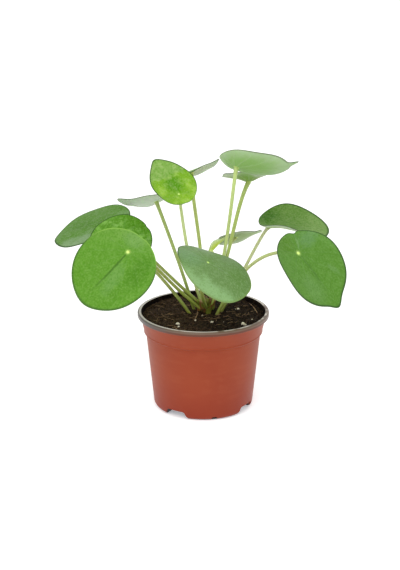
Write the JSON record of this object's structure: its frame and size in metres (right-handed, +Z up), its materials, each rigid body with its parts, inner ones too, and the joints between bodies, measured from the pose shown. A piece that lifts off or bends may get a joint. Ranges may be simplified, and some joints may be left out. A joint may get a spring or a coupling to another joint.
{
  "type": "potted chinese money plant",
  "caption": "Potted Chinese money plant: round leaves on long arching stalks above dark compost in a tapering terracotta-coloured plastic nursery pot",
  "frame": {"origin": "the middle of the pot's underside, on the surface it stands on", "axes": "+Z up along the pot's axis, -Y the front of the plant as pictured, +X to its right, along its widest spread"},
  "size_m": [0.2637, 0.1553, 0.2438],
  "materials": {
    "pot": "satin",
    "soil": "rough",
    "stem": "matte",
    "stalk": "satin",
    "leaf": "satin"
  },
  "bodies": {
    "root": {"pot": "pot", "soil": "soil", "stem": "stem", "leaf_front_left_blade": "leaf", "leaf_front_left_stalk": "stalk", "leaf_far_left_blade": "leaf", "leaf_far_left_stalk": "stalk", "leaf_mid_left_blade": "leaf", "leaf_mid_left_stalk": "stalk", "leaf_back_left_blade": "leaf", "leaf_back_left_stalk": "stalk", "leaf_upper_left_blade": "leaf", "leaf_upper_left_stalk": "stalk", "leaf_back_middle_blade": "leaf", "leaf_back_middle_stalk": "stalk", "leaf_top_blade": "leaf", "leaf_top_stalk": "stalk", "leaf_under_top_blade": "leaf", "leaf_under_top_stalk": "stalk", "leaf_upper_right_blade": "leaf", "leaf_upper_right_stalk": "stalk", "leaf_right_blade": "leaf", "leaf_right_stalk": "stalk", "leaf_front_blade": "leaf", "leaf_front_stalk": "stalk", "leaf_inner_right_blade": "leaf", "leaf_inner_right_stalk": "stalk", "leaf_young_blade": "leaf", "leaf_young_stalk": "stalk"}
  },
  "joints": []
}
